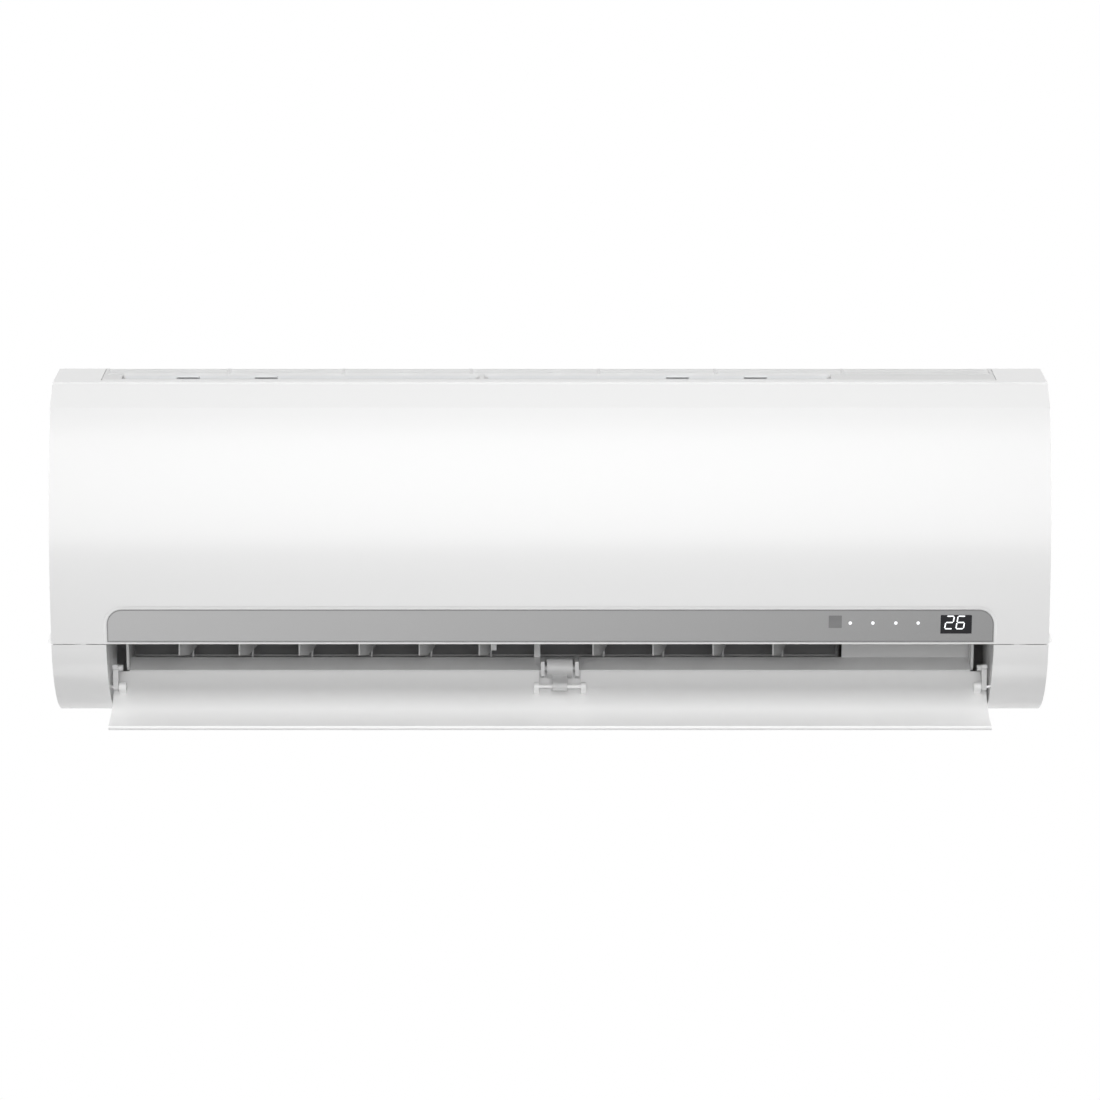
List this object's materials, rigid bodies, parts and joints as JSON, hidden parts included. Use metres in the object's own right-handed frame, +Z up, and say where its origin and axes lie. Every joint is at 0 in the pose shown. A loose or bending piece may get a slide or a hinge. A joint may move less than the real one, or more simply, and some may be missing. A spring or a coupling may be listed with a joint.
{
  "type": "mini split indoor unit",
  "caption": "Wall-hung indoor air conditioner unit: curved front panel with display strip, top intake, open air flap with swing vanes, fan and coil inside.",
  "frame": {"origin": "centre of the wall plate's four screw holes, on the wall face", "axes": "+X along the width to the right seen from the front, -Y out of the wall to the front, +Z up"},
  "size_m": [0.8052, 0.1881, 0.2926],
  "materials": {
    "white_plastic": "glossy white ABS",
    "grille_plastic": "fine-grained white ABS",
    "inner_plastic": "plain moulded off-white plastic",
    "dark_plastic": "black moulded plastic",
    "strip_grey": "satin grey strip",
    "window_black": "smoked window",
    "lamp_clear": "clear light pipes",
    "fan_plastic": "dark glass-filled plastic",
    "vane_plastic": "grey moulded plastic",
    "steel_zinc": "zinc-plated sheet steel",
    "steel_bright": "bright steel",
    "fin_aluminium": "thin coated aluminium fins",
    "copper": "drawn copper tube",
    "brass": "machined brass",
    "rubber_black": "soft black rubber",
    "net_white": "woven plastic net",
    "board_green": "glass-fibre circuit board",
    "display_dark": "seven-segment display"
  },
  "bodies": {
    "housing": {"mounting_plate": "steel_zinc", "rear_chassis": "inner_plastic", "front_casing": "white_plastic", "intake_grille": "grille_plastic", "casing_screws": "steel_bright", "drain_pan": "inner_plastic", "drain_plug": "rubber_black", "outlet_duct": "inner_plastic", "centre_flap_support": "white_plastic", "flap_motor": "steel_zinc", "fan_motor": "steel_zinc", "motor_cover": "inner_plastic", "motor_rubber_rings": "rubber_black", "fan_bearing": "brass", "bearing_holder": "rubber_black", "evaporator_front": "fin_aluminium", "evaporator_top": "fin_aluminium", "evaporator_rear": "fin_aluminium", "tube_sheets": "steel_zinc", "return_bends": "copper", "liquid_pipe": "copper", "gas_pipe": "copper", "flare_nuts": "brass", "pipe_clamp": "inner_plastic", "electrical_box": "inner_plastic", "electrical_box_cover": "inner_plastic", "control_board": "board_green", "terminal_block": "dark_plastic"},
    "panel": {"front_panel": "white_plastic", "panel_hinge_pins": "steel_bright", "display_strip": "strip_grey", "display_board": "board_green", "digit_display": "display_dark", "display_window": "window_black", "status_lamps": "lamp_clear", "receiver_window": "window_black"},
    "flap_body": {"flap": "white_plastic", "left_flap_arm": "white_plastic", "right_flap_arm": "white_plastic", "flap_motor_shaft": "steel_bright"},
    "fan": {"cross_flow_fan": "fan_plastic", "fan_stub_shaft": "steel_bright", "motor_shaft": "steel_bright"},
    "left_link_body": {"left_vane_link": "vane_plastic"},
    "right_link_body": {"right_vane_link": "vane_plastic"},
    "left_filter": {"left_air_filter": "dark_plastic", "left_filter_net": "net_white"},
    "right_filter": {"right_air_filter": "dark_plastic", "right_filter_net": "net_white"},
    "button": {"emergency_button": "white_plastic"},
    "vane_01": {"guide_vane_01": "vane_plastic"},
    "vane_02": {"guide_vane_02": "vane_plastic"},
    "vane_03": {"guide_vane_03": "vane_plastic"},
    "vane_04": {"guide_vane_04": "vane_plastic"},
    "vane_05": {"guide_vane_05": "vane_plastic"},
    "vane_06": {"guide_vane_06": "vane_plastic"},
    "vane_07": {"guide_vane_07": "vane_plastic"},
    "vane_08": {"guide_vane_08": "vane_plastic"},
    "vane_09": {"guide_vane_09": "vane_plastic"},
    "vane_10": {"guide_vane_10": "vane_plastic"}
  },
  "joints": [
    {"name": "panel_hinge", "type": "hinge", "parent": "housing", "child": "panel", "pos_m": [0, -0.158, 0.1105], "axis": [-1, 0, 0], "range_deg": [0, 60]},
    {"name": "flap_hinge", "type": "hinge", "parent": "housing", "child": "flap_body", "pos_m": [0, -0.1366, -0.13062], "axis": [-1, 0, 0], "range_deg": [-5, 88]},
    {"name": "fan_spin", "type": "hinge", "parent": "housing", "child": "fan", "pos_m": [0, -0.086, -0.038], "axis": [1, 0, 0], "continuous": true},
    {"name": "left_filter_slide", "type": "slide", "parent": "housing", "child": "left_filter", "axis": [0, -0.9848, 0.1736], "range_m": [0, 0.118]},
    {"name": "right_filter_slide", "type": "slide", "parent": "housing", "child": "right_filter", "axis": [0, -0.9848, 0.1736], "range_m": [0, 0.118]},
    {"name": "button_press", "type": "slide", "parent": "housing", "child": "button", "axis": [0, 1, 0], "range_m": [0, 0.0015], "stiffness_N_per_m": 400},
    {"name": "vane_01_turn", "type": "hinge", "parent": "housing", "child": "vane_01", "pos_m": [-0.2936, -0.094, -0.106], "axis": [0, 0, 1], "range_deg": [-12, 52]},
    {"name": "vane_02_turn", "type": "hinge", "parent": "housing", "child": "vane_02", "pos_m": [-0.2446, -0.094, -0.106], "axis": [0, 0, 1], "range_deg": [-12, 52]},
    {"name": "vane_03_turn", "type": "hinge", "parent": "housing", "child": "vane_03", "pos_m": [-0.1956, -0.094, -0.106], "axis": [0, 0, 1], "range_deg": [-12, 52]},
    {"name": "vane_04_turn", "type": "hinge", "parent": "housing", "child": "vane_04", "pos_m": [-0.1466, -0.094, -0.106], "axis": [0, 0, 1], "range_deg": [-12, 52]},
    {"name": "vane_05_turn", "type": "hinge", "parent": "housing", "child": "vane_05", "pos_m": [-0.0976, -0.094, -0.106], "axis": [0, 0, 1], "range_deg": [-12, 52]},
    {"name": "vane_06_turn", "type": "hinge", "parent": "housing", "child": "vane_06", "pos_m": [-0.0486, -0.094, -0.106], "axis": [0, 0, 1], "range_deg": [-12, 52]},
    {"name": "vane_07_turn", "type": "hinge", "parent": "housing", "child": "vane_07", "pos_m": [0.0442, -0.094, -0.106], "axis": [0, 0, 1], "range_deg": [-12, 52]},
    {"name": "vane_08_turn", "type": "hinge", "parent": "housing", "child": "vane_08", "pos_m": [0.0932, -0.094, -0.106], "axis": [0, 0, 1], "range_deg": [-12, 52]},
    {"name": "vane_09_turn", "type": "hinge", "parent": "housing", "child": "vane_09", "pos_m": [0.1422, -0.094, -0.106], "axis": [0, 0, 1], "range_deg": [-12, 52]},
    {"name": "vane_10_turn", "type": "hinge", "parent": "housing", "child": "vane_10", "pos_m": [0.1912, -0.094, -0.106], "axis": [0, 0, 1], "range_deg": [-12, 52]},
    {"name": "left_link_slide", "type": "slide", "parent": "housing", "child": "left_link_body", "axis": [1, 0, 0], "range_m": [-0.0037, 0.0158]},
    {"name": "right_link_slide", "type": "slide", "parent": "housing", "child": "right_link_body", "axis": [1, 0, 0], "range_m": [-0.0037, 0.0158]}
  ],
  "couplings": [
    {"joint": "vane_02_turn", "follows": "vane_01_turn", "ratio": 1},
    {"joint": "vane_03_turn", "follows": "vane_01_turn", "ratio": 1},
    {"joint": "vane_04_turn", "follows": "vane_01_turn", "ratio": 1},
    {"joint": "vane_05_turn", "follows": "vane_01_turn", "ratio": 1},
    {"joint": "vane_06_turn", "follows": "vane_01_turn", "ratio": 1},
    {"joint": "vane_08_turn", "follows": "vane_07_turn", "ratio": 1},
    {"joint": "vane_09_turn", "follows": "vane_07_turn", "ratio": 1},
    {"joint": "vane_10_turn", "follows": "vane_07_turn", "ratio": 1},
    {"joint": "left_link_slide", "follows": "vane_01_turn", "m_per_rad": 0.017293},
    {"joint": "right_link_slide", "follows": "vane_07_turn", "m_per_rad": 0.017293}
  ]
}
